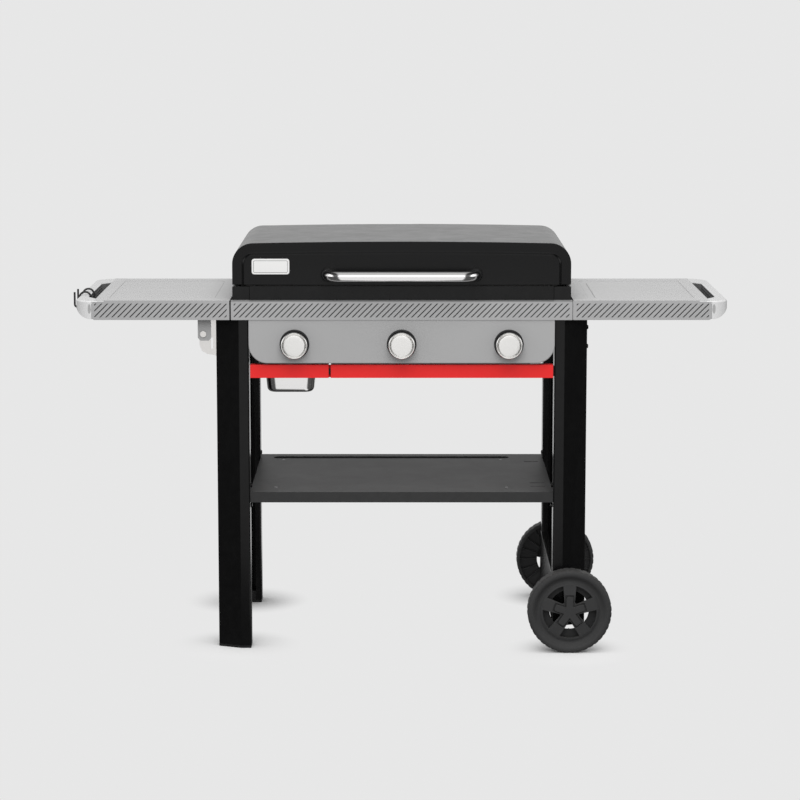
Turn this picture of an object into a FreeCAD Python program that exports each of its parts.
import FreeCAD, Part
import Sketcher
import math
import os
import re

# Outdoor gas griddle station. Millimetres, +Z up, the front faces -Y.
# The origin is on the floor, under the middle of the cart.

os.makedirs("parts", exist_ok=True)
doc = FreeCAD.newDocument("griddle_station")

SIZES = {
    # legs: folded steel posts with a chamfered outer corner
    "leg_inner_x": 366.6,
    "leg_face": 24.4,
    "leg_wide": 79.6,
    "leg_outer_y": 273.0,
    "leg_deep": 53.0,
    "leg_chamfer": 23.0,
    "leg_sheet": 2.0,
    "leg_lip": 15.0,
    "leg_bend": 4.0,
    "leg_top": 833.0,
    "leg_left_bottom": 6.0,
    "leg_right_bottom": 62.0,
    "foot_sole": 6.0,
    "foot_plug": 22.0,
    "plug_gap": 3.0,
    # cart frame
    "rail_top": 834.0,
    "rail_tall": 64.0,
    "rail_sheet": 2.0,
    "rail_flange": 26.0,
    "shelf_top": 385.6,
    "shelf_tall": 25.6,
    "shelf_sheet": 2.0,
    "shelf_front": 267.0,
    "shelf_rear": 271.0,
    "screw_head": 4.5,
    "screw_sunk": 1.2,
    "axle_panel_top": 185.0,
    "axle_panel_bottom": 72.0,
    # wheels: eight inch moulded wheels
    "wheel_rad": 101.6,
    "wheel_wide": 44.0,
    "wheel_x": 406.0,
    "wheel_y": 305.0,
    "axle_rad": 6.35,
    "axle_fit": 0.06,
    "hub_rad": 16.0,
    "spoke_window_out": 65.0,
    "spoke_window_in": 27.0,
    "spoke_wide_out": 32.0,
    "spoke_wide_in": 26.0,
    "star_reach": 36.0,
    "star_arm": 17.6,
    "star_thick": 6.0,
    # cooking box
    "box_half": 360.0,
    "box_front": 205.0,
    "box_rear": 215.0,
    "box_bottom": 732.0,
    "box_top": 886.0,
    "box_sheet": 2.0,
    "seam_x": 364.0,
    "sheet_half": 405.0,
    "sheet_front": 273.0,
    "sheet_rear": 224.0,
    "fascia_bottom": 854.0,
    "fascia_top": 887.0,
    # griddle plate
    "plate_half": 385.0,
    "plate_front": 262.0,
    "plate_rear": 208.0,
    "plate_bottom": 887.0,
    "plate_thick": 6.0,
    "plate_rim": 36.0,
    "plate_wall": 3.0,
    # lid
    "lid_half": 405.0,
    "lid_front": 273.0,
    "lid_rear": 224.0,
    "lid_bottom": 890.0,
    "lid_shoulder": 989.5,
    "lid_crown": 993.5,
    "lid_corner": 50.0,
    "lid_sheet": 2.0,
    "lid_step": 24.0,
    "lid_step_deep": 3.0,
    "hinge_y": 233.0,
    "hinge_z": 893.0,
    "handle_z": 915.0,
    "handle_y": 325.0,
    "handle_rad": 9.5,
    "handle_post_x": 176.0,
    "handle_bend": 22.0,
    "ferrule_rad": 16.5,
    # control panel and knobs
    "panel_bottom": 702.0,
    "panel_top": 835.8,
    "panel_front": 283.0,
    "panel_return": 20.0,
    "panel_sheet": 1.5,
    "panel_corner": 45.0,
    "knob_z": 748.5,
    "knob_pitch": 256.5,
    "knob_face_y": 317.0,
    "knob_rad": 31.8,
    "bezel_rad": 35.4,
    # trim bands
    "band_front": 285.0,
    "band_bottom": 807.0,
    "band_top": 854.0,
    "band_sheet": 2.0,
    "band_half": 408.0,
    "band_side_in": 411.0,
    "band_side_out": 741.0,
    "lip_in": 711.0,
    "lip_bottom": 850.6,
    "hatch_low": 813.2,
    "hatch_high": 846.6,
    "hatch_pitch": 14.2,
    "hatch_wide": 3.6,
    "hatch_deep": 0.8,
    # side tables
    "table_in": 411.0,
    "table_out": 727.0,
    "table_front": 283.0,
    "table_rear": 218.0,
    "table_top": 853.0,
    "table_skirt": 17.0,
    "table_sheet": 1.5,
    "cap_out": 781.0,
    "cap_bottom": 809.0,
    "slot_in": 735.0,
    "slot_out": 759.0,
    "fold_x": 477.0,
    "fold_z": 769.0,
    # red rail and grease drawer
    "rail_red_top": 697.0,
    "rail_red_bottom": 665.0,
    "rail_red_front": 270.0,
    "rail_red_sheet": 1.6,
    "drawer_out": 363.8,
    "drawer_in": 175.4,
    "rail_start": 170.3,
    "cup_x": 268.0,
    "cup_y": 180.0,
    "cup_wide": 118.0,
    "cup_long": 150.0,
    "cup_top": 694.0,
    "cup_bottom": 626.0,
}

sheet = doc.addObject("Spreadsheet::Sheet", "Sizes")
for row, (alias, value) in enumerate(SIZES.items(), start=1):
    sheet.set(f"A{row}", alias)
    sheet.set(f"B{row}", str(value))
    sheet.setAlias(f"B{row}", alias)
doc.recompute()

NODES = []


def value_of(expression):
    """The number that an expression of sheet aliases gives."""
    return float(sheet.evalExpression(str(expression)))


def linked(expression):
    """The same expression, written so that another object can read the sheet."""
    return re.sub(r"\b([a-z]+(?:_[a-z]+)+)\b", r"Sizes.\1", str(expression))


def role(body, name):
    """One of a body's own origin planes or axes."""
    return next(item for item in body.Origin.OriginFeatures if item.Role == name)


def new_body(label, at=("0", "0", "0"), node=True):
    """A PartDesign body whose place is bound to the sheet."""
    body = doc.addObject("PartDesign::Body", label)
    body.Label = label
    for axis, expression in zip("xyz", at):
        if str(expression) != "0":
            body.setExpression(f"Placement.Base.{axis}", linked(expression))
    if node:
        NODES.append(body)
    return body


# Planes: sketch axes and the sign of the sketch normal along the world axis.
PLANES = {"XY": 1, "XZ": -1, "YZ": 1}


def new_sketch(body, plane, level="0"):
    """A sketch on one of the body's planes, moved to a level along the world axis."""
    sketch = body.newObject("Sketcher::SketchObject", body.Label + "_sketch")
    sketch.AttachmentSupport = (role(body, plane + "_Plane"), [""])
    sketch.MapMode = "FlatFace"
    if str(level) != "0":
        sign = "" if PLANES[plane] > 0 else "-1 * "
        sketch.setExpression("AttachmentOffset.Base.z", f"{sign}({linked(level)})")
    return sketch


def bind_point(sketch, geometry, corner, x, y):
    """Hold a point of a sketch at two expressions."""
    for kind, expression in (("DistanceX", x), ("DistanceY", y)):
        number = sketch.addConstraint(
            Sketcher.Constraint(kind, -1, 1, geometry, corner, value_of(expression))
        )
        sketch.setExpression(f"Constraints[{number}]", linked(expression))


def add_polygon(sketch, points):
    """A closed outline whose corners are bound to expressions."""
    corners = [FreeCAD.Vector(value_of(x), value_of(y), 0) for x, y in points]
    count = len(corners)
    first = sketch.GeometryCount
    for index, corner in enumerate(corners):
        sketch.addGeometry(Part.LineSegment(corner, corners[(index + 1) % count]), False)
    for index in range(count):
        following = first + (index + 1) % count
        sketch.addConstraint(Sketcher.Constraint("Coincident", first + index, 2, following, 1))
    for index, (x, y) in enumerate(points):
        bind_point(sketch, first + index, 1, x, y)


def add_rectangle(sketch, low, high):
    """A rectangle between two opposite corners."""
    (left, bottom), (right, top) = low, high
    add_polygon(sketch, [(left, bottom), (right, bottom), (right, top), (left, top)])


def add_circle(sketch, x, y, radius):
    """A circle with a bound centre and radius."""
    centre = FreeCAD.Vector(value_of(x), value_of(y), 0)
    circle = sketch.addGeometry(
        Part.Circle(centre, FreeCAD.Vector(0, 0, 1), value_of(radius)), False
    )
    number = sketch.addConstraint(Sketcher.Constraint("Radius", circle, value_of(radius)))
    sketch.setExpression(f"Constraints[{number}]", linked(radius))
    bind_point(sketch, circle, 3, x, y)


def add_edges(sketch, edges):
    """Plain curves, drawn one after another."""
    for edge in edges:
        sketch.addGeometry(edge, False)


def pad(body, sketch, length, plane):
    """Grow a sketch along the plane's world axis."""
    feature = body.newObject("PartDesign::Pad", body.Label + "_pad")
    feature.Profile = sketch
    feature.setExpression("Length", linked(length))
    feature.Reversed = PLANES[plane] < 0
    body.Tip = feature
    return feature


def pocket(body, sketch, length, plane):
    """Cut a sketch along the plane's world axis; no length cuts right through."""
    feature = body.newObject("PartDesign::Pocket", body.Label + "_pocket")
    feature.Profile = sketch
    if length is None:
        feature.Type = "ThroughAll"
        feature.Midplane = True
    else:
        feature.setExpression("Length", linked(length))
        feature.Reversed = PLANES[plane] > 0
    body.Tip = feature
    return feature


def block(body, plane, level, length, low, high):
    """A rectangular pad."""
    sketch = new_sketch(body, plane, level)
    add_rectangle(sketch, low, high)
    return pad(body, sketch, length, plane)


def prism(body, plane, level, length, points):
    """A pad of a closed polygon."""
    sketch = new_sketch(body, plane, level)
    add_polygon(sketch, points)
    return pad(body, sketch, length, plane)


def cut_block(body, plane, level, length, low, high):
    """A rectangular pocket."""
    sketch = new_sketch(body, plane, level)
    add_rectangle(sketch, low, high)
    return pocket(body, sketch, length, plane)


def cut_prism(body, plane, level, length, points):
    """A pocket of a closed polygon."""
    sketch = new_sketch(body, plane, level)
    add_polygon(sketch, points)
    return pocket(body, sketch, length, plane)


def disc(body, plane, level, length, x, y, radius):
    """A round pad."""
    sketch = new_sketch(body, plane, level)
    add_circle(sketch, x, y, radius)
    return pad(body, sketch, length, plane)


def drill(body, plane, level, length, holes, radius):
    """Round pockets at a list of places."""
    sketch = new_sketch(body, plane, level)
    for x, y in holes:
        add_circle(sketch, x, y, radius)
    return pocket(body, sketch, length, plane)


def edges_where(body, test):
    """The names of the tip's edges that pass a test."""
    doc.recompute()
    edges = body.Tip.Shape.Edges
    return [f"Edge{index}" for index, edge in enumerate(edges, start=1) if test(edge)]


def faces_where(body, test):
    """The names of the tip's faces that pass a test."""
    doc.recompute()
    faces = body.Tip.Shape.Faces
    return [f"Face{index}" for index, face in enumerate(faces, start=1) if test(face)]


def spans(edge, axis):
    """True for a straight edge along one axis."""
    box = edge.BoundBox
    lengths = {"x": box.XLength, "y": box.YLength, "z": box.ZLength}
    others = [length for name, length in lengths.items() if name != axis]
    return lengths[axis] > 0.5 and max(others) < 1e-4


def near(first, second, slack=0.2):
    """True when two numbers are about the same."""
    return abs(first - second) < slack


def fillet(body, radius, test):
    """Round the tip's edges that pass a test."""
    names = edges_where(body, test)
    base = body.Tip
    feature = body.newObject("PartDesign::Fillet", body.Label + "_fillet")
    feature.Base = (base, names)
    feature.setExpression("Radius", linked(radius))
    body.Tip = feature
    return feature


def chamfer(body, size, test):
    """Bevel the tip's edges that pass a test."""
    names = edges_where(body, test)
    base = body.Tip
    feature = body.newObject("PartDesign::Chamfer", body.Label + "_chamfer")
    feature.Base = (base, names)
    feature.setExpression("Size", linked(size))
    body.Tip = feature
    return feature


def shell(body, thickness, test):
    """Hollow the tip inwards, open at the faces that pass a test."""
    names = faces_where(body, test)
    base = body.Tip
    feature = body.newObject("PartDesign::Thickness", body.Label + "_shell")
    feature.Base = (base, names)
    feature.setExpression("Value", linked(thickness))
    feature.Reversed = True
    feature.Join = "Intersection"
    body.Tip = feature
    return feature


def face_at(axis, place):
    """A test for a flat face across one axis at a place."""
    names = {"x": ("XMin", "XMax"), "y": ("YMin", "YMax"), "z": ("ZMin", "ZMax")}[axis]

    def test(face):
        box = face.BoundBox
        ends = [getattr(box, name) for name in names]
        return all(near(end, place, 0.01) for end in ends)

    return test


def any_of(*tests):
    """A test that passes when one of several does."""
    return lambda item: any(test(item) for test in tests)


def revolve(body, plane, axis, points):
    """A full turn of a closed polygon about one of the body's axes."""
    sketch = new_sketch(body, plane)
    add_polygon(sketch, points)
    feature = body.newObject("PartDesign::Revolution", body.Label + "_turn")
    feature.Profile = sketch
    feature.ReferenceAxis = (role(body, axis + "_Axis"), [""])
    feature.Angle = 360
    body.Tip = feature
    return feature


def polar(body, feature, axis, count):
    """Repeat a feature round an axis."""
    pattern = body.newObject("PartDesign::PolarPattern", body.Label + "_round")
    pattern.Originals = [feature]
    pattern.Axis = (role(body, axis + "_Axis"), [""])
    pattern.Angle = 360
    pattern.Occurrences = count
    body.Tip = pattern
    return pattern


def row(body, feature, axis, length, count):
    """Repeat a feature along an axis."""
    pattern = body.newObject("PartDesign::LinearPattern", body.Label + "_row")
    pattern.Originals = [feature]
    pattern.Direction = (role(body, axis + "_Axis"), [""])
    pattern.setExpression("Length", linked(length))
    pattern.Occurrences = count
    body.Tip = pattern
    return pattern


def group(label, members):
    """Several like pieces that share one node."""
    compound = doc.addObject("Part::Compound", label)
    compound.Label = label
    compound.Links = members
    NODES.append(compound)
    return compound


# Legs

LEG_BOLT_LEVELS = ("784", "738")
LEFT_BOLT_LEVELS = ("770", "727")
SHELF_BOLT_LEVELS = ("397", "348")
BOLT_SHANK = "3.2"
BOLT_HOLE = "3.4"


def leg_outline(side, end):
    """A post seen from above: inner wall, narrow face, chamfer and outer wall."""
    inner = f"{side} * leg_inner_x"
    corner = f"{side} * (leg_inner_x + leg_face)"
    outer = f"{side} * (leg_inner_x + leg_wide)"
    face = f"{end} * leg_outer_y"
    shoulder = f"{end} * (leg_outer_y - leg_chamfer)"
    back = f"{end} * (leg_outer_y - leg_deep)"
    return [(inner, back), (inner, face), (corner, face), (outer, shoulder), (outer, back)]


def make_leg(label, side, end, bottom, bolt_levels):
    """A folded post: flat inner wall, narrow face, chamfer, outer wall and two lips."""
    body = new_body(label)
    outline = leg_outline(side, end)
    prism(body, "XY", bottom, f"leg_top - {bottom}", outline)
    bends = {(value_of(x), value_of(y)) for x, y in outline}

    def is_bend(edge):
        centre = edge.BoundBox.Center
        return spans(edge, "z") and any(near(centre.x, x) and near(centre.y, y) for x, y in bends)

    fillet(body, "leg_bend", is_bend)
    ends = any_of(face_at("z", value_of("leg_top")), face_at("z", value_of(bottom)))
    shell(body, "leg_sheet", ends)
    slot_in = f"{side} * (leg_inner_x + leg_lip)"
    slot_out = f"{side} * (leg_inner_x + leg_wide - leg_lip)"
    slot_back = f"{end} * (leg_outer_y - leg_deep - 2)"
    slot_deep = f"{end} * (leg_outer_y - leg_deep + leg_sheet + 1)"
    cut_block(body, "XY", f"{bottom} - 1", "leg_top", (slot_in, slot_back), (slot_out, slot_deep))
    bolt_y = f"{end} * (leg_outer_y - leg_deep + 15)"
    low_x = "leg_inner_x + leg_wide - leg_sheet - 1" if side > 0 else "-leg_inner_x - leg_wide - 1"
    places = [(bolt_y, level) for level in bolt_levels]
    drill(body, "YZ", low_x, "leg_sheet + 2", places, BOLT_HOLE)
    low_x = "leg_inner_x - 1" if side > 0 else "-leg_inner_x - leg_sheet - 1"
    places = [(bolt_y, level) for level in SHELF_BOLT_LEVELS]
    drill(body, "YZ", low_x, "leg_sheet + 2", places, BOLT_HOLE)
    if side > 0:
        drill(body, "XZ", f"{end} * leg_outer_y - 60", "120",
              [("wheel_x", "wheel_rad")], "axle_rad + axle_fit")
    return body


def make_end_plug(name, side, end, level):
    """A moulded plug for a post's lower end: a flat sole and a block inside the post."""
    body = new_body(name, node=False)
    prism(body, "XY", level, "foot_sole", leg_outline(side, end))
    near_x = f"{side} * (leg_inner_x + leg_sheet + plug_gap)"
    far_x = f"{side} * (leg_inner_x + leg_wide - leg_sheet - plug_gap)"
    low_y = f"{end} * (leg_outer_y - leg_deep + 2 * plug_gap)"
    high_y = f"{end} * (leg_outer_y - leg_chamfer - 2 * plug_gap)"
    block(body, "XY", f"{level} + foot_sole", "foot_plug", (near_x, low_y), (far_x, high_y))
    return body


make_leg("leg_front_left", -1, -1, "leg_left_bottom", LEFT_BOLT_LEVELS)
make_leg("leg_rear_left", -1, 1, "leg_left_bottom", LEFT_BOLT_LEVELS)
make_leg("leg_front_right", 1, -1, "leg_right_bottom", LEG_BOLT_LEVELS)
make_leg("leg_rear_right", 1, 1, "leg_right_bottom", LEG_BOLT_LEVELS)
group("leg_end_plugs", [
    make_end_plug("foot_front", -1, -1, "0"),
    make_end_plug("foot_rear", -1, 1, "0"),
    make_end_plug("cap_front", 1, -1, "leg_right_bottom - foot_sole"),
    make_end_plug("cap_rear", 1, 1, "leg_right_bottom - foot_sole"),
])


# Cart frame

def make_side_rail(label, side):
    """A folded rail between the front and rear legs of one side, under the cooking box."""
    body = new_body(label)
    web_in = "leg_inner_x - rail_sheet" if side > 0 else "-leg_inner_x"
    web_out = "leg_inner_x" if side > 0 else "-leg_inner_x + rail_sheet"
    block(body, "XY", "rail_top - rail_tall", "rail_tall", (web_in, "-258"), (web_out, "258"))
    between = "leg_outer_y - leg_deep - 1"
    for level in ("rail_top - rail_sheet", "rail_top - rail_tall"):
        low_x = "leg_inner_x - 0.5" if side > 0 else "-leg_inner_x - rail_flange"
        high_x = "leg_inner_x + rail_flange" if side > 0 else "-leg_inner_x + 0.5"
        block(body, "XY", level, "rail_sheet", (low_x, f"-({between})"), (high_x, between))
    return body


def make_rear_rail():
    """A folded panel between the rear legs, behind the cooking box."""
    body = new_body("rear_rail")
    half = "leg_inner_x - rail_sheet"
    block(body, "XZ", "248", "rail_sheet", (f"-({half})", "752"), (half, "828"))
    for level in ("826", "752"):
        block(body, "XY", level, "rail_sheet", (f"-({half})", "226"), (half, "249"))
    return body


def make_axle_panel():
    """The folded side panel that ties the two right legs together above the axle."""
    body = new_body("axle_panel")
    low_x = "leg_inner_x - rail_sheet"
    tall = "axle_panel_top - axle_panel_bottom"
    block(body, "XY", "axle_panel_bottom", tall, (low_x, "-262"), ("leg_inner_x", "262"))
    between = "leg_outer_y - leg_deep - 1"
    for level in ("axle_panel_top - rail_sheet", "axle_panel_bottom"):
        block(body, "XY", level, "rail_sheet", (low_x, f"-({between})"), ("leg_inner_x + 18", between))
    return body


SHELF_SCREWS = [("-307", "-201"), ("256", "-201"), ("-305", "188"), ("256", "190")]


def make_shelf():
    """The bottom shelf: a folded tray, upside down, with a pressed channel and slots."""
    body = new_body("shelf")
    low = ("-leg_inner_x", "-shelf_front")
    high = ("leg_inner_x", "shelf_rear")
    block(body, "XY", "shelf_top - shelf_tall", "shelf_tall", low, high)
    channel = cut_block(body, "XY", "shelf_top - 6", "7", ("-332", "206"), ("279", "236"))
    corners = {(x, y) for x in (-332, 279) for y in (206, 236)}

    def is_channel_corner(edge):
        centre = edge.BoundBox.Center
        return spans(edge, "z") and any(near(centre.x, x) and near(centre.y, y) for x, y in corners)

    fillet(body, "14.5", is_channel_corner)
    shell(body, "shelf_sheet", face_at("z", value_of("shelf_top - shelf_tall")))
    drill(body, "XY", "shelf_top - shelf_sheet - 1", "shelf_sheet + 2", SHELF_SCREWS, "2.7")
    drill(body, "XY", "shelf_top - screw_sunk", "2", SHELF_SCREWS, "screw_head + 0.3")
    for slot_y in (-190, -143, 159):
        cut_block(body, "XY", "shelf_top - shelf_sheet - 1", "shelf_sheet + 2",
                  ("316", f"{slot_y} - 3"), ("352", f"{slot_y} + 3"))
    return body


def make_axle():
    """One round axle through both right legs, with a spacer and a nut at each end."""
    body = new_body("axle", at=("wheel_x", "0", "wheel_rad"))
    half = "wheel_y + wheel_wide / 2 - 6.5"
    disc(body, "XZ", f"-({half})", f"2 * ({half})", "0", "0", "axle_rad")
    inner = "wheel_y - wheel_wide / 2 - 0.3"
    disc(body, "XZ", f"-({inner})", "9.5", "0", "0", "9.5")
    disc(body, "XZ", f"{inner} - 9.5", "9.5", "0", "0", "9.5")
    return body


make_side_rail("side_rail_left", -1)
make_side_rail("side_rail_right", 1)
make_rear_rail()
make_axle_panel()
make_shelf()
make_axle()


# Wheels

def make_wheel(label, end):
    """A moulded wheel: tread, rim, web with five windows, hub and ribs at its back."""
    body = new_body(label, at=("wheel_x", f"{end} * wheel_y", "wheel_rad"))
    front = f"{end} * wheel_wide / 2"
    bore = "axle_rad + axle_fit"

    def at(depth):
        """A place along the axle, counted inwards from the wheel's outer face."""
        return f"{front} - {end} * {depth}"

    section = [
        (at(6), bore), (at(6), "67"), (at(10), "73"), (at(10), "81"), (at(2), "87"),
        (at(0), "90"), (at(0), "96"), (at(5), "wheel_rad"), (at(39), "wheel_rad"),
        (at(44), "97"), (at(44), "93"), (at(34), "93"), (at(34), "48"), (at(30), "48"),
        (at(30), "90"), (at(14), "90"), (at(14), "84"), (at(11), "24"), (at(11), "hub_rad"),
        (at(44), "hub_rad"), (at(44), bore),
    ]
    revolve(body, "YZ", "Y", section)
    out_turn = 36 - math.degrees(math.asin(value_of("spoke_wide_out / 2 / spoke_window_out")))
    in_turn = 36 - math.degrees(math.asin(value_of("spoke_wide_in / 2 / spoke_window_in")))
    out_x = value_of("spoke_window_out") * math.sin(math.radians(out_turn))
    out_z = -value_of("spoke_window_out") * math.cos(math.radians(out_turn))
    in_x = value_of("spoke_window_in") * math.sin(math.radians(in_turn))
    in_z = -value_of("spoke_window_in") * math.cos(math.radians(in_turn))
    corners = [
        FreeCAD.Vector(-out_x, out_z, 0), FreeCAD.Vector(-in_x, in_z, 0),
        FreeCAD.Vector(in_x, in_z, 0), FreeCAD.Vector(out_x, out_z, 0),
    ]
    bottom = FreeCAD.Vector(0, -value_of("spoke_window_out"), 0)
    window = new_sketch(body, "XZ", f"{front} - {end} * 8 - 9")
    add_edges(window, [
        Part.LineSegment(corners[0], corners[1]),
        Part.LineSegment(corners[1], corners[2]),
        Part.LineSegment(corners[2], corners[3]),
        Part.Arc(corners[3], bottom, corners[0]),
    ])
    opening = pocket(body, window, "18", "XZ")
    polar(body, opening, "Y", 5)
    rib = block(body, "XZ", f"{front} - {end} * 37 - 3.5", "7", ("-1.5", "47"), ("1.5", "94"))
    polar(body, rib, "Y", 20)
    notch = cut_block(body, "XZ", f"{front} - {end} * 6 - 7", "14",
                      ("-2.2", "wheel_rad - 1.6"), ("2.2", "wheel_rad + 2"))
    polar(body, notch, "Y", 40)
    return body


def make_hub_cap(label, end):
    """A raised star with five rounded arms, over the middle of a wheel."""
    body = new_body(label, at=("wheel_x", f"{end} * wheel_y", "wheel_rad"))
    low_y = "-wheel_wide / 2" if end < 0 else "wheel_wide / 2 - 6"
    arm = block(body, "XZ", low_y, "star_thick", ("-star_arm / 2", "0"), ("star_arm / 2", "star_reach"))
    ends = {(-8.8, 36.0), (8.8, 36.0)}

    def is_arm_end(edge):
        centre = edge.BoundBox.Center
        return spans(edge, "y") and any(near(centre.x, x) and near(centre.z, z) for x, z in ends)

    rounding = fillet(body, "6", is_arm_end)
    pattern = body.newObject("PartDesign::PolarPattern", label + "_arms")
    pattern.Originals = [arm, rounding]
    pattern.Axis = (role(body, "Y_Axis"), [""])
    pattern.Angle = 360
    pattern.Occurrences = 5
    body.Tip = pattern
    outer_y = value_of(f"{end} * wheel_wide / 2")

    def is_outer_edge(edge):
        box = edge.BoundBox
        return near(box.YMin, outer_y, 0.01) and near(box.YMax, outer_y, 0.01)

    chamfer(body, "1.5", is_outer_edge)
    return body


make_wheel("wheel_front", -1)
make_hub_cap("wheel_front_hub_cap", -1)
make_wheel("wheel_rear", 1)
make_hub_cap("wheel_rear_hub_cap", 1)


# Cooking box

BURNERS = ("left", "centre", "right")
BURNER_TUBE_RAD = "13"
BURNER_LOW_Z = "752"
DRAIN_X = ("-322", "-298")
DRAIN_Y = ("-246", "-226")


def burner_x(index):
    """The middle of a burner, its valve and its knob."""
    return f"{index - 1} * knob_pitch"


def make_cookbox():
    """The burner box: a folded pan on a flange, with a ledge at the back."""
    body = new_body("cookbox")
    low = ("-box_half", "-box_front")
    high = ("box_half", "box_rear")
    block(body, "XY", "box_bottom", "box_top - box_bottom", low, high)
    shell(body, "box_sheet", face_at("z", value_of("box_top")))
    flange = new_sketch(body, "XY", "rail_top")
    add_rectangle(flange, ("-398", "-216"), ("398", "217"))
    add_rectangle(flange, ("-box_half + 1", "-box_front + 1"), ("box_half - 1", "box_rear - 1"))
    pad(body, flange, "box_sheet", "XY")
    block(body, "XZ", "sheet_rear - box_sheet", "box_sheet", ("-seam_x", "840"), ("seam_x", "fascia_top"))
    block(body, "XY", "fascia_top - box_sheet", "box_sheet",
          ("-seam_x", "box_rear - 1"), ("seam_x", "sheet_rear"))
    places = [(burner_x(index), BURNER_LOW_Z) for index in range(3)]
    drill(body, "XZ", "-box_front - 1", "box_sheet + 2", places, "20")
    vents = new_sketch(body, "XZ", "box_rear - box_sheet - 1")
    for index in range(9):
        centre = f"{(index - 4) * 74}"
        add_rectangle(vents, (f"{centre} - 26", "790"), (f"{centre} + 26", "802"))
    pocket(body, vents, "box_sheet + 2", "XZ")
    return body


def make_front_fascia():
    """The folded front ledge under the lid: a face and two flanges, with holes for the chute."""
    body = new_body("front_fascia")
    block(body, "XZ", "-sheet_front", "box_sheet", ("-seam_x", "fascia_bottom"), ("seam_x", "fascia_top"))
    for level in ("fascia_bottom", "fascia_top - box_sheet"):
        block(body, "XY", level, "box_sheet", ("-seam_x", "-sheet_front"), ("seam_x", "-box_front"))
    cut_block(body, "XY", "fascia_bottom - 1", "fascia_top - fascia_bottom + 2",
              (DRAIN_X[0], DRAIN_Y[0]), (DRAIN_X[1], DRAIN_Y[1]))
    return body


def make_corner_sheet(name, side):
    """A side sheet that wraps both corners of the box, from the fascia's seam to the back."""
    body = new_body(name, node=False)
    low_x = "seam_x + 0.5" if side > 0 else "-sheet_half"
    high_x = "sheet_half" if side > 0 else "-seam_x - 0.5"
    block(body, "XY", "rail_top + box_sheet", "box_top - rail_top - box_sheet",
          (low_x, "-sheet_front"), (high_x, "sheet_rear"))
    inner = value_of(f"{side} * (seam_x + 0.5)")
    shell(body, "1.6", face_at("x", inner))
    return body


def make_burner(label, index):
    """A tube burner: venturi mouth, swan neck and a straight run with ports."""
    body = new_body(label, at=(burner_x(index), "0", "0"), node=False)
    route = new_sketch(body, "YZ")
    points = [(-222, 752), (-196, 752), (-150, 812), (176, 812)]
    start, low, high, finish = [FreeCAD.Vector(y, z, 0) for y, z in points]
    tangent = (high - low).normalize()
    turn = math.acos(tangent.x)
    radius = 30.0
    reach = radius * math.tan(turn / 2)
    first = low - FreeCAD.Vector(reach, 0, 0)
    first_end = low + tangent * reach
    second_start = high - tangent * reach
    run_start = high + FreeCAD.Vector(reach, 0, 0)
    first_centre = first + FreeCAD.Vector(0, radius, 0)
    second_centre = run_start - FreeCAD.Vector(0, radius, 0)
    half = turn / 2
    first_middle = first_centre + FreeCAD.Vector(math.sin(half), -math.cos(half), 0) * radius
    second_middle = second_centre + FreeCAD.Vector(-math.sin(half), math.cos(half), 0) * radius
    add_edges(route, [
        Part.LineSegment(start, first),
        Part.Arc(first, first_middle, first_end),
        Part.LineSegment(first_end, second_start),
        Part.Arc(second_start, second_middle, run_start),
        Part.LineSegment(run_start, finish),
    ])
    ring = new_sketch(body, "XZ", "-222")
    add_circle(ring, "0", BURNER_LOW_Z, BURNER_TUBE_RAD)
    tube = body.newObject("PartDesign::AdditivePipe", label + "_tube")
    tube.Profile = ring
    tube.Spine = (route, [])
    body.Tip = tube
    doc.recompute()
    drill(body, "XZ", "-223", "30", [("0", BURNER_LOW_Z)], "11.5")
    collar = new_sketch(body, "XZ", "-box_front - 2.2")
    add_circle(collar, "0", BURNER_LOW_Z, "23")
    add_circle(collar, "0", BURNER_LOW_Z, "12.5")
    pad(body, collar, "2.2", "XZ")
    block(body, "XY", "811", "2", ("-9", "170"), ("9", "box_rear - box_sheet"))
    port = cut_block(body, "YZ", "-16", "32", ("-118", "808"), ("-108", "812"))
    row(body, port, "Y", "280", 11)
    return body


make_cookbox()
make_front_fascia()
SIDES = (("left", -1), ("right", 1))
group("cookbox_corner_sheets", [make_corner_sheet("corner_" + place, side) for place, side in SIDES])
group("tube_burners", [make_burner("burner_" + name, number) for number, name in enumerate(BURNERS)])


def make_griddle_plate():
    """The rolled steel cooking plate: raised walls, a low front lip and a drain slot."""
    body = new_body("griddle_plate")
    tall = "plate_thick + plate_rim"
    low = ("-plate_half", "-plate_front")
    high = ("plate_half", "plate_rear")
    block(body, "XY", "plate_bottom", tall, low, high)
    corners = {(x, y) for x in (-385, 385) for y in (-262, 208)}

    def is_corner(edge):
        centre = edge.BoundBox.Center
        return spans(edge, "z") and any(near(centre.x, x) and near(centre.y, y) for x, y in corners)

    fillet(body, "14", is_corner)
    well = new_sketch(body, "XY", "plate_bottom + plate_thick")
    inner_low = ("-plate_half + plate_wall", "-plate_front + plate_wall")
    inner_high = ("plate_half - plate_wall", "plate_rear - plate_wall")
    add_rectangle(well, inner_low, inner_high)
    pocket(body, well, "plate_rim + 1", "XY")
    slope = [("-plate_front - 1", "plate_bottom + 22"), ("-plate_front + 60", "plate_bottom + 22"),
             ("-plate_front + 120", "plate_bottom + 60"), ("-plate_front - 1", "plate_bottom + 60")]
    cut_prism(body, "YZ", "-plate_half - 1", "2 * plate_half + 2", slope)
    cut_block(body, "XY", "plate_bottom + plate_thick - 2", "3",
              ("-plate_half + 12", "-plate_front + 8"), ("plate_half - 12", "-plate_front + 36"))
    cut_block(body, "XY", "plate_bottom - 1", "plate_thick + 2",
              (DRAIN_X[0], DRAIN_Y[0]), (DRAIN_X[1], DRAIN_Y[1]))
    return body


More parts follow.
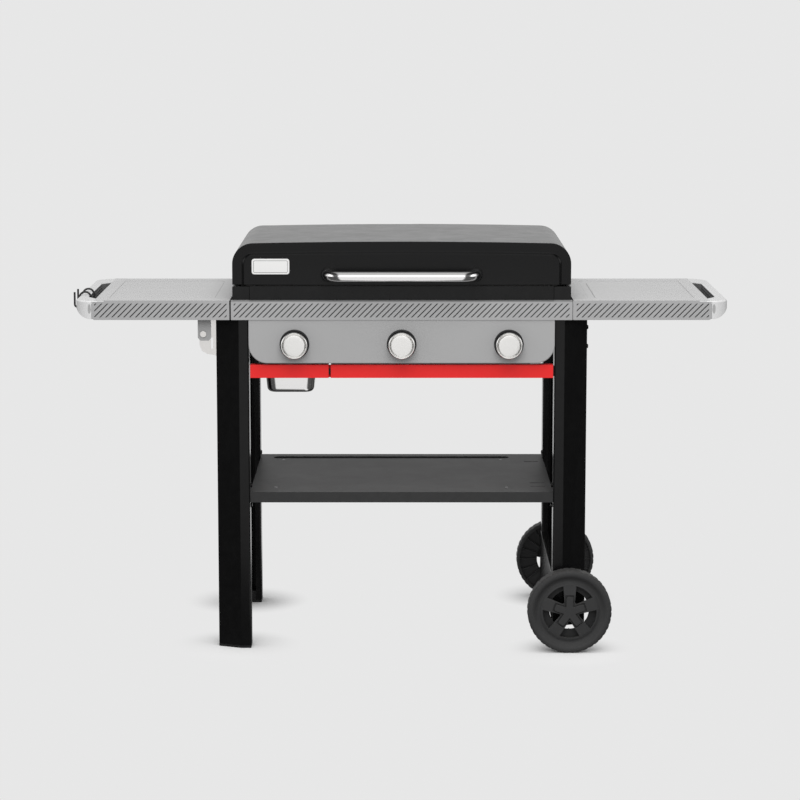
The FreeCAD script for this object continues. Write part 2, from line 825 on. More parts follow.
def make_grease_chute():
    """A square duct from the plate's drain slot down to the drip cup."""
    body = new_body("grease_chute")
    outer = ((DRAIN_X[0], DRAIN_Y[0]), (DRAIN_X[1], DRAIN_Y[1]))
    block(body, "XY", "698", "plate_bottom - 698", outer[0], outer[1])
    inner = (f"{DRAIN_X[0]} + 1.2", f"{DRAIN_Y[0]} + 1.2"), (f"{DRAIN_X[1]} - 1.2", f"{DRAIN_Y[1]} - 1.2")
    cut_block(body, "XY", "690", "200", inner[0], inner[1])
    return body


make_griddle_plate()
make_grease_chute()


# Gas train

MANIFOLD_Y = "-247"
MANIFOLD_Z = "726"
INLET_X = "319"
INLET_Z = "700"


def make_manifold():
    """The gas pipe under the valves: a boss for each valve, and an elbow to the inlet fitting."""
    body = new_body("gas_manifold")
    disc(body, "YZ", "-285", "604", MANIFOLD_Y, MANIFOLD_Z, "8")
    for index in range(3):
        disc(body, "XY", MANIFOLD_Z, "10", burner_x(index), MANIFOLD_Y, "7")
    block(body, "XY", "689", "48", (f"{INLET_X} - 10", "-257"), (f"{INLET_X} + 10", "-237"))
    disc(body, "XZ", "-238", "19", INLET_X, INLET_Z, "7.9")
    drill(body, "XZ", "-245", "27", [(INLET_X, INLET_Z)], "4.2")
    return body


def make_valve(index):
    """A brass gas valve: a body on the manifold boss and an outlet that faces the burner."""
    body = new_body(f"valve_{BURNERS[index]}", at=(burner_x(index), "0", "0"), node=False)
    block(body, "XZ", "-262", "30", ("-12", "736"), ("12", "762"))
    disc(body, "XZ", "-234", "11.5", "0", BURNER_LOW_Z, "7")
    disc(body, "XZ", "-panel_front + panel_sheet", "20.5", "0", "knob_z", "10")
    disc(body, "XZ", "-panel_front + panel_sheet", "2", "0", "knob_z", "17")
    drill(body, "XZ", "-panel_front", "38", [("0", "knob_z")], "4.06")
    return body


def make_electrode(index):
    """A spark electrode beside a burner: ceramic sleeve and bent tip."""
    body = new_body(f"electrode_{BURNERS[index]}", at=(burner_x(index), "0", "0"), node=False)
    disc(body, "XZ", "-box_front + box_sheet", "40", "24", "806", "4")
    disc(body, "XZ", "-box_front + box_sheet + 39", "26", "24", "806", "1.2")
    disc(body, "YZ", "14.5", "10.5", "-139.5", "806", "1.2")
    return body


def make_heat_shield():
    """A folded sheet between the cooking box and the valves."""
    body = new_body("heat_shield")
    block(body, "XZ", "-209", "1.2", ("-348", "715"), ("348", "834"))
    block(body, "XY", "715", "1.2", ("-348", "-208.5"), ("348", "-196"))
    drill(body, "XZ", "-210", "3.2", [(burner_x(index), BURNER_LOW_Z) for index in range(3)], "20")
    return body


make_manifold()
group("gas_valves", [make_valve(index) for index in range(3)])
group("igniter_electrodes", [make_electrode(index) for index in range(3)])
make_heat_shield()


# Control panel and knobs

def make_control_panel():
    """The pressed front panel with round lower corners and a hole for each knob."""
    body = new_body("control_panel")
    block(body, "XZ", "-panel_front", "panel_return",
          ("-leg_inner_x", "panel_bottom"), ("leg_inner_x", "panel_top"))
    lower = value_of("panel_bottom")

    def is_low_corner(edge):
        return spans(edge, "y") and near(edge.BoundBox.Center.z, lower)

    fillet(body, "panel_corner", is_low_corner)
    front = value_of("-panel_front")

    def is_front_rim(edge):
        box = edge.BoundBox
        return near(box.YMin, front, 0.01) and near(box.YMax, front, 0.01) and box.ZMin < 830

    fillet(body, "2.5", is_front_rim)
    back = value_of("-panel_front + panel_return")
    top = value_of("panel_top")
    shell(body, "panel_sheet", any_of(face_at("y", back), face_at("z", top)))
    places = [(burner_x(index), "knob_z") for index in range(3)]
    drill(body, "XZ", "-panel_front - 1", "panel_sheet + 2", places, "12")
    return body


def make_bezel(index):
    """The dark ring that seats behind a knob."""
    body = new_body(f"bezel_{BURNERS[index]}", at=(burner_x(index), "-panel_front", "knob_z"), node=False)
    revolve(body, "YZ", "Y", [
        ("0", "12"), ("0", "bezel_rad"), ("-3", "bezel_rad"), ("-6", "bezel_rad - 2"),
        ("-6", "bezel_rad - 6"), ("-2.5", "bezel_rad - 8"), ("-2.5", "12"),
    ])
    return body


def make_stem(label, index):
    """A valve spindle: a collar inside the valve and a rod with a flat for the knob."""
    body = new_body(label, at=(burner_x(index), "0", "knob_z"))
    disc(body, "XZ", "-308", "58", "0", "0", "4")
    cut_block(body, "XZ", "-309", "21", ("-5", "2.6"), ("5", "6"))
    return body


def make_knob(label, index):
    """A push-and-turn knob: a grip with flutes, a raised face with a rim, and a D-shaped socket."""
    body = new_body(label, at=(burner_x(index), "0", "knob_z"))
    revolve(body, "YZ", "Y", [
        ("-292", "0"), ("-292", "28.5"), ("-309", "knob_rad - 1.5"), ("-314", "knob_rad"),
        ("-knob_face_y", "knob_rad - 1"), ("-knob_face_y", "knob_rad - 4.6"),
        ("-knob_face_y + 1.6", "knob_rad - 5.2"), ("-knob_face_y + 1.6", "0"),
    ])
    socket = new_sketch(body, "XZ", "-312.5")
    flat = 2.66
    reach = 4.06
    turn = math.asin(flat / reach)
    across = reach * math.cos(turn)
    right = FreeCAD.Vector(across, flat, 0)
    left = FreeCAD.Vector(-across, flat, 0)
    add_edges(socket, [
        Part.LineSegment(left, right),
        Part.Arc(right, FreeCAD.Vector(0, -reach, 0), left),
    ])
    pocket(body, socket, "21.5", "XZ")
    flute = new_sketch(body, "XZ", "-307")
    add_circle(flute, "0", "knob_rad + 2.6", "7")
    cut = pocket(body, flute, "15", "XZ")
    polar(body, cut, "Y", 12)
    return body


make_control_panel()
group("knob_bezels", [make_bezel(index) for index in range(3)])
for number, name in enumerate(BURNERS):
    make_stem("valve_stem_" + name, number)
    make_knob("knob_" + name, number)


# Lid

LID_OUTLINE = ("lid_half", "lid_bottom", "lid_shoulder", "lid_crown", "lid_corner")


def lid_outline(half, low, shoulder, crown, radius):
    """The lid seen from the front: straight sides, round shoulders and a slightly arched top."""
    drop = radius * 0.29289
    left_low = FreeCAD.Vector(-half, low, 0)
    left_top = FreeCAD.Vector(-half, shoulder - radius, 0)
    left_mid = FreeCAD.Vector(-half + drop, shoulder - drop, 0)
    left_in = FreeCAD.Vector(-half + radius, shoulder, 0)
    middle = FreeCAD.Vector(0, crown, 0)
    right_in = FreeCAD.Vector(half - radius, shoulder, 0)
    right_mid = FreeCAD.Vector(half - drop, shoulder - drop, 0)
    right_top = FreeCAD.Vector(half, shoulder - radius, 0)
    right_low = FreeCAD.Vector(half, low, 0)
    return [
        Part.LineSegment(left_low, left_top),
        Part.Arc(left_top, left_mid, left_in),
        Part.Arc(left_in, middle, right_in),
        Part.Arc(right_in, right_mid, right_top),
        Part.LineSegment(right_top, right_low),
        Part.LineSegment(right_low, left_low),
    ]


def make_lid_skin():
    """The wrapped sheet that makes the lid's sides and top."""
    body = new_body("lid_skin")
    front = "-lid_front + 3"
    profile = new_sketch(body, "XZ", front)
    add_edges(profile, lid_outline(*[value_of(name) for name in LID_OUTLINE]))
    pad(body, profile, "lid_front + lid_rear - 6", "XZ")
    ends = any_of(face_at("y", value_of(front)), face_at("y", value_of("lid_rear - 3")),
                  face_at("z", value_of("lid_bottom")))
    shell(body, "lid_sheet", ends)
    return body


def make_lid_front():
    """The pressed front of the lid: a border and a field that stands forward by a soft step."""
    body = new_body("lid_front_panel")
    whole = [value_of(name) for name in LID_OUTLINE]
    border = new_sketch(body, "XZ", "-lid_front + lid_step_deep / 2")
    add_edges(border, lid_outline(*whole))
    pad(body, border, "3 - lid_step_deep / 2", "XZ")
    step = value_of("lid_step")
    field = new_sketch(body, "XZ", "-lid_front")
    add_edges(field, lid_outline(whole[0] - step, whole[1] + 0.01, whole[2] - step,
                                 whole[3] - step, whole[4] - step))
    pad(body, field, "2", "XZ")
    back = new_sketch(body, "XZ", "-lid_front + 2")
    add_edges(back, lid_outline(whole[0] - step - 4, whole[1] + 4, whole[2] - step - 4,
                                whole[3] - step - 4, whole[4] - step - 4))
    pocket(body, back, "2", "XZ")
    front = value_of("-lid_front")

    def is_field_rim(edge):
        box = edge.BoundBox
        flat = near(box.YMin, front, 0.01) and near(box.YMax, front, 0.01)
        return flat and box.ZMax > value_of("lid_bottom + 1")

    fillet(body, "1.2", is_field_rim)
    places = [("-handle_post_x", "handle_z"), ("handle_post_x", "handle_z")]
    drill(body, "XZ", "-lid_front - 1", "5", places, "4.2")
    return body


def make_lid_rear():
    """The plain back wall of the lid."""
    body = new_body("lid_rear_panel")
    whole = [value_of(name) for name in LID_OUTLINE]
    wall = new_sketch(body, "XZ", "lid_rear - 3")
    add_edges(wall, lid_outline(*whole))
    pad(body, wall, "3", "XZ")
    field = new_sketch(body, "XZ", "lid_rear - 3")
    add_edges(field, lid_outline(whole[0] - 30, whole[1] + 22, whole[2] - 24, whole[3] - 24, 26.0))
    pocket(body, field, "1.5", "XZ")
    return body


def make_bumper(name, side):
    """A rubber button on the box's front ledge that the closed lid rests on."""
    body = new_body(name, node=False)
    disc(body, "XY", "fascia_top", "lid_bottom - fascia_top", f"{side} * 352", "-lid_front + 4.6", "3.6")
    return body


def make_handle():
    """A stainless tube that bends back at both ends into the ferrules."""
    body = new_body("lid_handle")
    route = new_sketch(body, "XY", "handle_z")
    post, out, bend = [value_of(name) for name in ("handle_post_x", "handle_y", "handle_bend")]
    root = value_of("-lid_front - 6")
    drop = bend * 0.29289
    left = [FreeCAD.Vector(-post, root, 0), FreeCAD.Vector(-post, -out + bend, 0),
            FreeCAD.Vector(-post + drop, -out + drop, 0), FreeCAD.Vector(-post + bend, -out, 0)]
    right = [FreeCAD.Vector(-point.x, point.y, 0) for point in left]
    add_edges(route, [
        Part.LineSegment(left[0], left[1]),
        Part.Arc(left[1], left[2], left[3]),
        Part.LineSegment(left[3], right[3]),
        Part.Arc(right[3], right[2], right[1]),
        Part.LineSegment(right[1], right[0]),
    ])
    ring = new_sketch(body, "XZ", "-lid_front - 6")
    add_circle(ring, "-handle_post_x", "handle_z", "handle_rad")
    tube = body.newObject("PartDesign::AdditivePipe", "handle_tube")
    tube.Profile = ring
    tube.Spine = (route, [])
    body.Tip = tube
    doc.recompute()
    return body


def make_ferrule(name, side):
    """A black collar between the handle tube and the lid."""
    body = new_body(name, at=(f"{side} * handle_post_x", "-lid_front", "handle_z"), node=False)
    revolve(body, "YZ", "Y", [
        ("0", "0"), ("0", "ferrule_rad"), ("-3", "ferrule_rad"), ("-9", "ferrule_rad - 2.5"),
        ("-16", "handle_rad + 2.6"), ("-16", "handle_rad + 0.05"), ("-6", "handle_rad + 0.05"), ("-6", "0"),
    ])
    return body


HINGE_X = 300


def make_hinge_arm(name, side):
    """The moving half of a lid hinge: a plate on the lid's back with a knuckle."""
    body = new_body(name, at=(f"{side} * {HINGE_X}", "0", "0"), node=False)
    block(body, "XZ", "lid_rear", "2.5", ("-20", "hinge_z"), ("20", "932"))
    block(body, "YZ", "-12", "24", ("lid_rear", "hinge_z"), ("hinge_y", "hinge_z + 6"))
    disc(body, "YZ", "-12", "24", "hinge_y", "hinge_z", "6")
    drill(body, "YZ", "-13", "26", [("hinge_y", "hinge_z")], "3.06")
    return body


def make_hinge_bracket(name, side):
    """The fixed half of a lid hinge: a plate behind the box with two ears."""
    body = new_body(name, at=(f"{side} * {HINGE_X}", "0", "0"), node=False)
    block(body, "XZ", "sheet_rear", "2.5", ("-22", "845"), ("22", "884"))
    for low in ("-18", "13"):
        ear = [("sheet_rear + 2", "866"), ("hinge_y + 6", "882"), ("hinge_y + 6", "hinge_z"),
               ("hinge_y - 6", "hinge_z"), ("sheet_rear + 2", "884")]
        prism(body, "YZ", low, "5", ear)
        disc(body, "YZ", low, "5", "hinge_y", "hinge_z", "6")
    drill(body, "YZ", "-19", "38", [("hinge_y", "hinge_z")], "3.06")
    return body


def make_hinge_pin(name, side):
    """A hinge pin with a head at its inner end."""
    body = new_body(name, at=(f"{side} * {HINGE_X}", "0", "0"), node=False)
    disc(body, "YZ", "-18", "40", "hinge_y", "hinge_z", "3")
    disc(body, "YZ", "-20", "2", "hinge_y", "hinge_z", "5.5")
    return body


make_lid_skin()
make_lid_front()
make_lid_rear()
group("lid_bumpers", [make_bumper("bumper_" + place, side) for place, side in SIDES])
make_handle()
group("handle_ferrules", [make_ferrule("ferrule_" + place, side) for place, side in SIDES])
group("lid_hinge_arms", [make_hinge_arm("arm_" + place, side) for place, side in SIDES])
group("lid_hinge_brackets", [make_hinge_bracket("hinge_" + place, side) for place, side in SIDES])
hinge_pins = [make_hinge_pin("pin_" + place, side) for place, side in SIDES]


# Trim bands

def clipped_stripe(start, wide, low, high, left, right):
    """A 45 degree stripe from the hatch's lower edge, cut to the hatch's rectangle."""
    def cut(points, inside, cross):
        kept = []
        for index, point in enumerate(points):
            before = points[index - 1]
            if inside(point) != inside(before):
                kept.append(cross(before, point))
            if inside(point):
                kept.append(point)
        return kept

    def cross_at(limit):
        def cross(first, second):
            share = (limit - first[0]) / (second[0] - first[0])
            return (limit, first[1] + share * (second[1] - first[1]))
        return cross

    rise = high - low
    points = [(start, low), (start + wide, low), (start + wide + rise, high), (start + rise, high)]
    points = cut(points, lambda point: point[0] >= left, cross_at(left))
    return cut(points, lambda point: point[0] <= right, cross_at(right)) if points else points


def add_hatch(body, left, right):
    """Slanted grooves along a band, each cut off square by the border."""
    low, high, pitch, wide = [value_of(name) for name in
                              ("hatch_low", "hatch_high", "hatch_pitch", "hatch_wide")]
    grooves = new_sketch(body, "XZ", "-band_front")
    start = left - (high - low) - wide + pitch * 0.4
    while start < right:
        points = clipped_stripe(start, wide, low, high, left, right)
        start += pitch
        if len(points) < 3:
            continue
        corners = [FreeCAD.Vector(x, z, 0) for x, z in points]
        longest = max((second - first).Length for first in corners for second in corners)
        if longest < 3:
            continue
        add_edges(grooves, [
            Part.LineSegment(corner, corners[(index + 1) % len(corners)])
            for index, corner in enumerate(corners)
        ])
    pocket(body, grooves, "hatch_deep", "XZ")


def make_band(label, left, right, top_deep, round_side=0):
    """A folded strip with a hatched face; round_side rounds the corners of its free end."""
    body = new_body(label)
    block(body, "XZ", "-band_front", "band_sheet", (left, "band_bottom"), (right, "band_top"))
    if round_side:
        end_x = value_of(right if round_side > 0 else left)
        lip_end = f"{round_side} * (lip_in - 0.4)"
        beyond = f"{round_side} * (band_side_out + 1)"
        cut_block(body, "XZ", "-band_front - 1", "band_sheet + 2",
                  (lip_end, "lip_bottom - 0.3"), (beyond, "band_top + 1"))

        def is_free_corner(edge):
            return spans(edge, "y") and near(edge.BoundBox.Center.x, end_x)

        fillet(body, "8", is_free_corner)
    inset = 10 if round_side else 0.01
    low_x = f"{left} + {inset}" if round_side < 0 else left
    high_x = f"{right} - {inset}" if round_side > 0 else right
    if top_deep:
        block(body, "XY", "band_top - band_sheet", "band_sheet",
              (low_x, "-band_front"), (high_x, f"-band_front + {top_deep}"))
    add_hatch(body, value_of(left) + 7, value_of(right) - 7)
    return body


make_band("trim_band_centre", "-band_half", "band_half", "12")
make_band("trim_band_left", "-band_side_out", "-band_side_in", "", -1)
make_band("trim_band_right", "band_side_in", "band_side_out", "", 1)


# Side tables

def make_table_top(label, side):
    """A pressed tray, upside down: a flat top with a shallow pressed field and skirts."""
    body = new_body(label)
    low_x = "table_in" if side > 0 else "-table_out"
    high_x = "table_out" if side > 0 else "-table_in"
    block(body, "XY", "table_top - table_skirt", "table_skirt",
          (low_x, "-table_front"), (high_x, "table_rear"))
    field_in = f"{side} * (table_in + 39)"
    field_out = f"{side} * (table_out - 22)"
    cut_block(body, "XY", "table_top - 1", "2", (field_in, "-226"), (field_out, "164"))
    corners = {(value_of(x), y) for x in (field_in, field_out) for y in (-226, 164)}

    def is_field_corner(edge):
        centre = edge.BoundBox.Center
        return spans(edge, "z") and any(near(centre.x, x) and near(centre.y, y) for x, y in corners)

    fillet(body, "12", is_field_corner)
    shell(body, "table_sheet", face_at("z", value_of("table_top - table_skirt")))
    return body


def make_end_cap(label, side):
    """A moulded handle across the table's end: outer grip bar, two arms, inner wall and ribs."""
    body = new_body(label)
    near_x = f"{side} * table_out"
    far_x = f"{side} * cap_out"
    block(body, "XY", "cap_bottom", "table_top - cap_bottom",
          (near_x, "-band_front"), (far_x, "table_rear"))
    outer = value_of(far_x)

    def corner_at(y):
        def test(edge):
            centre = edge.BoundBox.Center
            return spans(edge, "z") and near(centre.x, outer) and near(centre.y, y)
        return test

    fillet(body, "40", corner_at(-285))
    fillet(body, "52", corner_at(218))
    under = new_sketch(body, "XZ", "-band_front - 1")
    inside = FreeCAD.Vector(side * 744, 800, 0)
    outside = FreeCAD.Vector(side * 790, 800, 0)
    high = FreeCAD.Vector(side * 790, 838, 0)
    edge_high = FreeCAD.Vector(side * 781, 834, 0)
    edge_mid = FreeCAD.Vector(side * 769, 818.5, 0)
    edge_low = FreeCAD.Vector(side * 744, 808.9, 0)
    add_edges(under, [
        Part.LineSegment(inside, outside),
        Part.LineSegment(outside, high),
        Part.LineSegment(high, edge_high),
        Part.Arc(edge_high, edge_mid, edge_low),
        Part.LineSegment(edge_low, inside),
    ])
    pocket(body, under, "band_front + table_rear + 2", "XZ")
    slot = [(f"{side} * slot_in", "-237"), (f"{side} * slot_out", "-198"),
            (f"{side} * slot_out", "99"), (f"{side} * slot_in", "130")]
    cut_prism(body, "XY", "800", "60", slot)
    top = value_of("table_top")

    def is_grip_edge(edge):
        box = edge.BoundBox
        flat = near(box.ZMin, top, 0.01) and near(box.ZMax, top, 0.01)
        reach = abs(box.Center.x)
        return flat and (reach > 757 or box.YLength < 1 and reach > 740 and abs(box.Center.y) > 200)

    fillet(body, "4", is_grip_edge)
    recess = f"{side} * (band_side_out + 0.3)"
    start = f"{side} * (table_out - 1)"
    cut_block(body, "XZ", "-band_front - 1", "band_sheet + 1", (start, "800"), (recess, "lip_bottom"))
    block(body, "XZ", "-band_front", "band_sheet",
          (f"{side} * lip_in", "lip_bottom"), (f"{side} * (table_out + 0.5)", "table_top"))
    return body


for place, side in SIDES:
    make_table_top(f"table_{place}_top", side)
    make_end_cap(f"table_{place}_end_cap", side)


BEARER_Y = {"front": "-252.6", "rear": "192"}
BEARER_DEEP = "24"
EAR_THICK = "2.5"
PIN_RAD = "4"
PIN_FIT = "0.06"


def make_bearer(name, side, place):
    """A folded channel under a table, from over the leg out to the end handle."""
    body = new_body(name, node=False)
    low_x = "table_in + 3" if side > 0 else "-table_out + 6"
    high_x = "table_out - 6" if side > 0 else "-table_in - 3"
    y = BEARER_Y[place]
    level = "table_top - table_skirt + 1.4"
    tall = "table_skirt - table_sheet - 1.4"
    block(body, "XY", level, tall, (low_x, y), (high_x, f"{y} + {BEARER_DEEP}"))
    shell(body, "1.5", face_at("z", value_of(level)))
    return body


def make_left_bearer(name, place):
    """A left bearer, with the ear that turns on the folding bracket's pin."""
    body = make_bearer(name, -1, place)
    y = BEARER_Y[place] if place == "front" else f"{BEARER_Y[place]} + {BEARER_DEEP} - {EAR_THICK}"
    ear = [("-490", "table_top - 4"), ("-490", "760"), ("-484", "753"), ("-464", "753"),
           ("-458.6", "759"), ("-458.6", "table_top - 4")]
    prism(body, "XZ", y, EAR_THICK, ear)
    drill(body, "XZ", f"{y} - 1", f"{EAR_THICK} + 2", [("-fold_x", "fold_z")], f"{PIN_RAD} + {PIN_FIT}")
    return body


def make_right_bearer(name, place):
    """A right bearer, with a tongue bolted to the inside of the leg's outer wall."""
    body = make_bearer(name, 1, place)
    end = -1 if place == "front" else 1
    wall = "leg_inner_x + leg_wide - leg_sheet"
    low_y = f"{end} * (leg_outer_y - 27)"
    high_y = f"{end} * (leg_outer_y - leg_deep + 5)"
    low, high = (low_y, high_y) if end < 0 else (high_y, low_y)
    if end > 0:
        step = f"{wall} - 20"
        start = f"{BEARER_Y[place]} + 0.5"
        stop = f"{BEARER_Y[place]} + {BEARER_DEEP} - 0.5"
        block(body, "XY", "833.5", "4.9", (step, start), (wall, stop))
        block(body, "XY", "833.5", "2.2", (step, start), (wall, high_y))
    tall = "table_top - table_sheet" if end < 0 else "835"
    block(body, "YZ", f"{wall} - 2.4", "2.4", (low, "728"), (high, tall))
    bolt_y = f"{end} * (leg_outer_y - leg_deep + 15)"
    drill(body, "YZ", f"{wall} - 4", "8", [(bolt_y, level) for level in LEG_BOLT_LEVELS], BOLT_HOLE)
    return body


def make_fold_bracket(name, place):
    """A zinc bracket on a left leg: a bolted plate and a slotted flange that holds the pin."""
    body = new_body(name, node=False)
    end = -1 if place == "front" else 1
    outer = "leg_inner_x + leg_wide"
    flange_y = "-249" if end < 0 else "218.4"
    plate = (f"{flange_y}", "-221.5") if end < 0 else (f"{flange_y}", "248")
    block(body, "YZ", f"-({outer}) - 2.4", "2.4", (plate[0], "716"), (plate[1], "828"))
    flange = [(f"-({outer})", "828"), ("-486", "828"), ("-486", "742"), ("-480", "728"),
              ("-466", "720"), (f"-({outer})", "718")]
    prism(body, "XZ", flange_y, "2.4", flange)
    drill(body, "XZ", f"{flange_y} - 1", "4.4", [("-fold_x", "fold_z")], f"{PIN_RAD} + 0.02")
    cut_block(body, "XZ", f"{flange_y} - 1", "4.4", ("-459", "733"), ("-453.5", "760"))
    bolt_y = f"{end} * (leg_outer_y - leg_deep + 15)"
    drill(body, "YZ", f"-({outer}) - 4", "6", [(bolt_y, level) for level in LEFT_BOLT_LEVELS], BOLT_HOLE)
    return body


def make_fold_pin(name, place):
    """A shouldered screw: head in front of the ear, shank through the ear and the flange."""
    body = new_body(name, node=False)
    low_y = "-253.2" if place == "front" else "212.9"
    head_y = "-256.4" if place == "front" else "209.7"
    disc(body, "XZ", head_y, "3.2", "-fold_x", "fold_z", "7.5")
    disc(body, "XZ", f"{low_y} - 0.5", "9", "-fold_x", "fold_z", PIN_RAD)
    return body


def make_hook(label, y):
    """A tool hook of bent wire that straddles the left grip bar and turns up outside it."""
    body = new_body(label, at=("0", y, "0"))
    bar_in, bar_out, reach, tip = -756.4, -783.6, 13.6, 6.2
    middle = (bar_in + bar_out) / 2
    top, low = 846.9, 826.0
    route = new_sketch(body, "XZ")
    start = FreeCAD.Vector(bar_in, 838, 0)
    over_in = FreeCAD.Vector(bar_in, top, 0)
    over_top = FreeCAD.Vector(middle, top + reach, 0)
    over_out = FreeCAD.Vector(bar_out, top, 0)
    turn_in = FreeCAD.Vector(bar_out, low, 0)
    turn_low = FreeCAD.Vector(bar_out - tip, low - tip, 0)
    turn_out = FreeCAD.Vector(bar_out - 2 * tip, low, 0)
    finish = FreeCAD.Vector(bar_out - 2 * tip, 862, 0)
    add_edges(route, [
        Part.LineSegment(start, over_in),
        Part.Arc(over_in, over_top, over_out),
        Part.LineSegment(over_out, turn_in),
        Part.Arc(turn_in, turn_low, turn_out),
        Part.LineSegment(turn_out, finish),
    ])
    ring = new_sketch(body, "XY", "838")
    add_circle(ring, f"{bar_in}", "0", "2.2")
    wire = body.newObject("PartDesign::AdditivePipe", label + "_wire")
    wire.Profile = ring
    wire.Spine = (route, [])
    body.Tip = wire
    doc.recompute()
    return body


group("table_left_bearers", [make_left_bearer("bearer_left_" + place, place) for place in BEARER_Y])
group("table_right_bearers", [make_right_bearer("bearer_right_" + place, place) for place in BEARER_Y])
group("fold_brackets", [make_fold_bracket("fold_bracket_" + place, place) for place in BEARER_Y])
fold_pins = [make_fold_pin("fold_pin_" + place, place) for place in BEARER_Y]
group("pivot_pins", hinge_pins + fold_pins)
make_hook("tool_hook_front", "-158")
make_hook("tool_hook_rear", "-88")


# Red accessory rail and grease drawer

def make_red_strip(label, left, right):
    """A folded red strip: a face with a return at the top and at the bottom."""
    body = new_body(label)
    block(body, "XZ", "-rail_red_front", "12", (left, "rail_red_bottom"), (right, "rail_red_top"))
    back = value_of("-rail_red_front + 12")
    ends = any_of(face_at("y", back), face_at("x", value_of(left)), face_at("x", value_of(right)))
    shell(body, "rail_red_sheet", ends)
    return body


def make_drawer_tray():
    """The sliding tray behind the red front, with the hole that the drip cup hangs in."""
    body = new_body("drawer_tray")
    block(body, "XY", "680", "cup_top - 1.2 - 680", ("-344", "-268.4"), ("-192", "-20"))
    shell(body, "1.5", face_at("z", 680))
    low = ("-cup_x - cup_wide / 2 - 1", "-cup_y - cup_long / 2 - 1")
    high = ("-cup_x + cup_wide / 2 + 1", "-cup_y + cup_long / 2 + 1")
    cut_block(body, "XY", "670", "40", low, high)
    return body


def rounded_outline(half_x, half_y, radius):
    """A rectangle with round corners, about the sketch's origin."""
    drop = radius * 0.29289
    edges = []
    for turn in range(4):
        wide, tall = (half_x, half_y) if turn % 2 == 0 else (half_y, half_x)
        spin = FreeCAD.Rotation(FreeCAD.Vector(0, 0, 1), 90 * turn)
        start, first, middle, last = [spin.multVec(FreeCAD.Vector(x, y, 0)) for x, y in (
            (wide, radius - tall), (wide, tall - radius), (wide - drop, tall - drop), (wide - radius, tall))]
        edges.append(Part.LineSegment(start, first))
        edges.append(Part.Arc(first, middle, last))
    return edges


CUP_WALL = 1.2
CUP_TAPER = 5.2
CUP_CORNER = 22.0
CUP_ROUND = 7.0


def make_drip_cup():
    """A pressed steel cup with tapered sides, round corners and a rim that hangs on the tray."""
    body = new_body("drip_cup", at=("-cup_x", "-cup_y", "0"))
    half_x, half_y = value_of("cup_wide / 2"), value_of("cup_long / 2")
    outer = new_sketch(body, "XY", "cup_top - 1.2")
    add_edges(outer, rounded_outline(half_x, half_y, CUP_CORNER))
    bowl = pad(body, outer, "cup_top - 1.2 - cup_bottom", "XY")
    bowl.Reversed = True
    bowl.TaperAngle = -CUP_TAPER
    rim = new_sketch(body, "XY", "cup_top - 1.2")
    add_edges(rim, rounded_outline(half_x + 6, half_y + 6, CUP_CORNER + 5))
    pad(body, rim, "1.2", "XY")
    inner = new_sketch(body, "XY", "cup_top")
    add_edges(inner, rounded_outline(half_x - CUP_WALL, half_y - CUP_WALL, CUP_CORNER - 1))
    hollow = pocket(body, inner, f"cup_top - cup_bottom - {CUP_WALL}", "XY")
    hollow.Reversed = False
    hollow.TaperAngle = -CUP_TAPER

    def floor_edge(level):
        def test(edge):
            box = edge.BoundBox
            return near(box.ZMin, level, 0.01) and near(box.ZMax, level, 0.01)
        return test

    floor = value_of("cup_bottom")
    fillet(body, f"{CUP_ROUND - CUP_WALL}", floor_edge(floor + CUP_WALL))
    fillet(body, f"{CUP_ROUND}", floor_edge(floor))
    return body


def make_runner(name, web_x, side):
    """A folded runner under the cooking box, with a ledge below and a keeper above the tray."""
    body = new_body(name, node=False)
    low_x, high_x = f"{web_x}", f"{web_x} + 2"
    block(body, "XY", "678", "34", (low_x, "-256"), (high_x, "-20"))
    block(body, "XY", "711", "box_bottom - 711", (low_x, "-190"), (high_x, "-20"))
    if side < 0:
        ledge = (f"{web_x} + 1", f"{web_x} + 12")
    else:
        ledge = (f"{web_x} - 10", f"{web_x} + 1")
    block(body, "XY", "678", "1.95", (ledge[0], "-256"), (ledge[1], "-20"))
    block(body, "XY", "693.4", "1.6", (ledge[0], "-222"), (ledge[1], "-20"))
    return body


def make_right_bracket():
    """An angle inside the right front leg that carries the right end of the red rail."""
    body = new_body("rail_bracket_right", node=False)
    block(body, "XZ", "-rail_red_front + rail_red_sheet", "18.4",
          ("leg_inner_x - 2.4", "669"), ("leg_inner_x", "693"))
    block(body, "XZ", "-rail_red_front + rail_red_sheet", "1.6",
          ("leg_inner_x - 16", "669"), ("leg_inner_x - 1", "693"))
    return body


def make_middle_bracket():
    """An angle on the right runner that carries the left end of the red rail."""
    body = new_body("rail_bracket_middle", node=False)
    block(body, "XY", "674", "14", ("-189.6", "-267.6"), ("-187.8", "-240"))
    block(body, "XZ", "-267.6", "1.6", ("-189.6", "674"), ("-150", "688"))
    block(body, "XZ", "-268.4", "1.2", ("-rail_start + 0.5", "674"), ("-150", "688"))
    return body


make_red_strip("accessory_rail", "-rail_start", "leg_inner_x - 2.6")
make_red_strip("drawer_front", "-drawer_out", "-drawer_in")
make_drawer_tray()
make_drip_cup()
group("drawer_runners", [
    make_runner("runner_left", "-346.4", -1), make_runner("runner_right", "-191.6", 1),
    make_right_bracket(), make_middle_bracket(),
])


# Fasteners

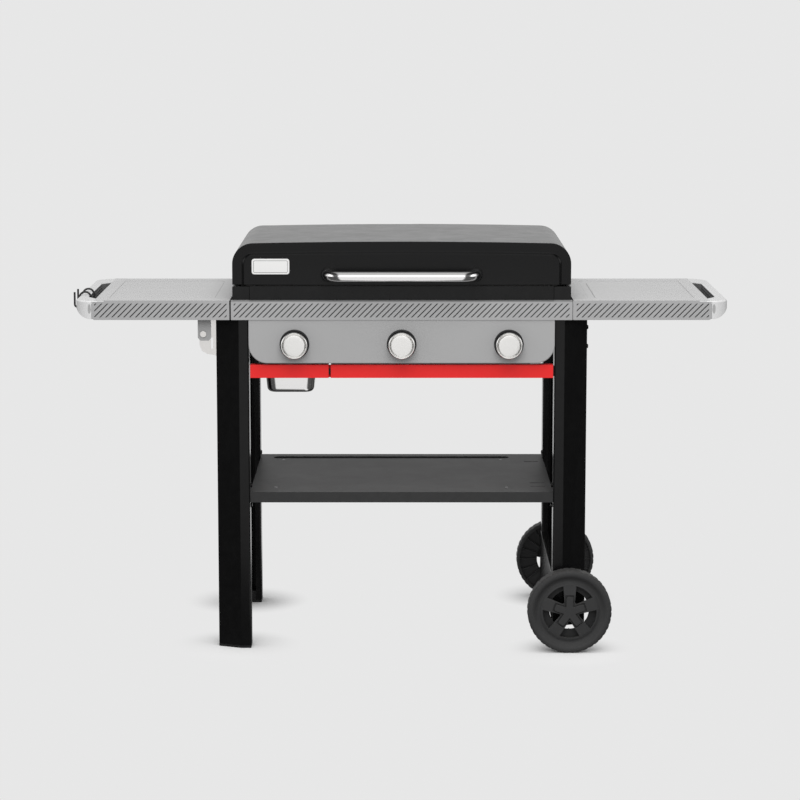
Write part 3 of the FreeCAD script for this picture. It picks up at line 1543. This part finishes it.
def make_fastener(name, head, tall, shank, long, at, direction):
    """A button-headed bolt: the head stands on a surface, the shank goes through it."""
    top = doc.addObject("Part::Cone", name + "_head")
    top.Radius1 = head
    top.Radius2 = head * 0.6
    top.Height = tall
    stem = doc.addObject("Part::Cylinder", name + "_shank")
    stem.Radius = shank
    stem.Height = long
    stem.Placement.Base = FreeCAD.Vector(0, 0, -long)
    whole = doc.addObject("Part::Fuse", name)
    whole.Base = top
    whole.Tool = stem
    turn = FreeCAD.Rotation(FreeCAD.Vector(0, 0, 1), FreeCAD.Vector(*direction))
    whole.Placement = FreeCAD.Placement(FreeCAD.Vector(*at), turn)
    return whole


def frame_bolts():
    """The bolts of the table brackets and of the shelf."""
    bolts = []
    bolt_y = value_of("leg_outer_y - leg_deep + 15")
    outer = value_of("leg_inner_x + leg_wide")
    inner = value_of("leg_inner_x")
    for end in (-1, 1):
        for level in LEG_BOLT_LEVELS:
            bolts.append(((outer, end * bolt_y, float(level)), (1, 0, 0)))
        for level in LEFT_BOLT_LEVELS:
            bolts.append(((-outer - 2.4, end * bolt_y, float(level)), (-1, 0, 0)))
        for level in SHELF_BOLT_LEVELS:
            for side in (-1, 1):
                bolts.append(((side * inner, end * bolt_y, float(level)), (-side, 0, 0)))
    return [
        make_fastener(f"bolt_{number}", 6.5, 3.6, float(BOLT_SHANK), 7.0, at, direction)
        for number, (at, direction) in enumerate(bolts)
    ]


def make_shelf_screw(number, place):
    """A flat-headed screw whose head lies level with the shelf's top."""
    body = new_body(f"screw_{number}", at=(*place, "shelf_top"), node=False)
    disc(body, "XY", "-screw_sunk", "screw_sunk", "0", "0", "screw_head")
    disc(body, "XY", "-8", "8 - screw_sunk", "0", "0", "2.5")
    return body


def shelf_screws():
    """The small screws in the shelf's top."""
    return [make_shelf_screw(number, place) for number, place in enumerate(SHELF_SCREWS)]


group("frame_bolts", frame_bolts() + shelf_screws())

# Check every object and write one STEP file for each node.

doc.recompute()
failed = [item.Name for item in doc.Objects if {"Invalid", "Error"} & set(item.State)]
if failed:
    raise RuntimeError(f"these objects failed: {failed}")
labels = [item.Label for item in NODES]
if len(set(labels)) != len(labels):
    raise RuntimeError("two nodes share a name")
for item in NODES:
    if item.Shape.isNull() or not item.Shape.isValid():
        raise RuntimeError(f"{item.Label} has no valid shape")
    item.Shape.exportStep(os.path.join("parts", item.Label + ".step"))
print(f"{len(NODES)} nodes written")
